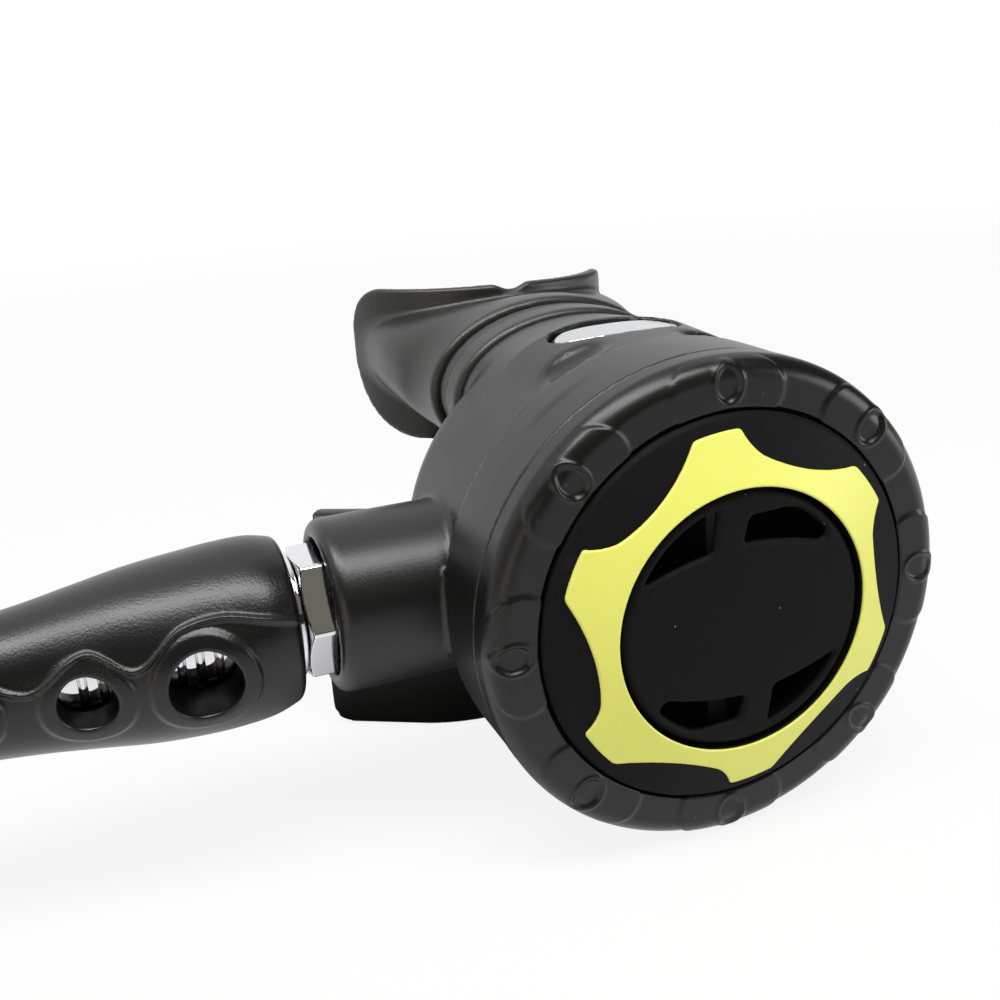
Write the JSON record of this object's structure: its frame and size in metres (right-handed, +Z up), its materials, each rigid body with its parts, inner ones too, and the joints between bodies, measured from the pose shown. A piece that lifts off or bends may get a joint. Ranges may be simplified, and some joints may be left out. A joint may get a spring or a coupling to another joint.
{
  "type": "scuba second stage with hose",
  "caption": "Demand-valve second stage with purge button, lever and poppet, mouthpiece, exhaust tee and a coiled low-pressure hose with its threaded end.",
  "frame": {"origin": "middle of the bottom of the second stage's box, hose assembly left out", "axes": "+Z up; the face looks to -Y, the mouthpiece to +Y and the hose leaves along -X"},
  "size_m": [0.3245, 0.1624, 0.0742],
  "materials": {
    "black_plastic": "satin moulded plastic",
    "black_elastomer": "matt soft cover",
    "yellow_plastic": "yellow moulded plastic",
    "case_plastic": "glass-filled satin plastic",
    "silicone": "soft matt silicone",
    "diaphragm_rubber": "thin moulded membrane",
    "hose_rubber": "hose cover",
    "chrome": "chromed brass",
    "steel": "stainless steel",
    "plate_metal": "polished plate",
    "inner_plastic": "plain moulded plastic"
  },
  "bodies": {
    "stage": {"front_cover": "black_elastomer", "gear_ring": "yellow_plastic", "cover_grille": "inner_plastic", "diaphragm": "diaphragm_rubber", "case": "case_plastic", "nameplate": "plate_metal", "valve_tube": "chrome", "tube_oring": "diaphragm_rubber", "orifice": "chrome", "orifice_oring": "diaphragm_rubber", "end_plug": "black_plastic", "end_plug_oring": "diaphragm_rubber", "exhaust_valve": "silicone", "exhaust_tee": "silicone", "mouthpiece": "silicone", "mouthpiece_tie": "black_plastic", "hose_stem": "chrome", "stem_oring": "diaphragm_rubber", "crimp_ferrule": "chrome", "hose_protector": "silicone", "hose": "hose_rubber", "hose_coil": "hose_rubber", "far_ferrule": "chrome", "first_stage_fitting": "chrome", "fitting_oring": "diaphragm_rubber"},
    "purge": {"purge_button": "black_elastomer"},
    "plate": {"diaphragm_plate": "steel"},
    "lever": {"demand_lever": "steel"},
    "poppet_set": {"poppet": "inner_plastic", "poppet_seat": "silicone", "poppet_spring": "steel", "lever_washer": "steel", "lever_nut": "steel"},
    "ring": {"cover_ring": "black_plastic"},
    "nut": {"hose_nut": "chrome"}
  },
  "joints": [
    {"name": "purge_press", "type": "slide", "parent": "stage", "child": "purge", "axis": [0, 1, 0], "range_m": [0, 0.0026], "stiffness_N_per_m": 400},
    {"name": "plate_move", "type": "slide", "parent": "stage", "child": "plate", "axis": [0, 1, 0], "range_m": [0, 0.0026]},
    {"name": "lever_pivot", "type": "hinge", "parent": "stage", "child": "lever", "pos_m": [-0.0125, -0.015, 0.036], "axis": [0, 0, 1], "range_deg": [0, 7.85]},
    {"name": "poppet_lift", "type": "slide", "parent": "stage", "child": "poppet_set", "axis": [1, 0, 0], "range_m": [0, 0.00055]},
    {"name": "ring_turn", "type": "hinge", "parent": "stage", "child": "ring", "pos_m": [0.0035, -0.0428, 0.036], "axis": [0, 1, 0], "range_deg": [0, 30]},
    {"name": "nut_turn", "type": "hinge", "parent": "stage", "child": "nut", "pos_m": [-0.0489, -0.015, 0.036], "axis": [1, 0, 0], "range_deg": [0, 60]}
  ],
  "couplings": [
    {"joint": "plate_move", "follows": "purge_press", "ratio": 1},
    {"joint": "lever_pivot", "follows": "purge_press", "rad_per_m": 52.6},
    {"joint": "poppet_lift", "follows": "purge_press", "ratio": 0.2105}
  ]
}
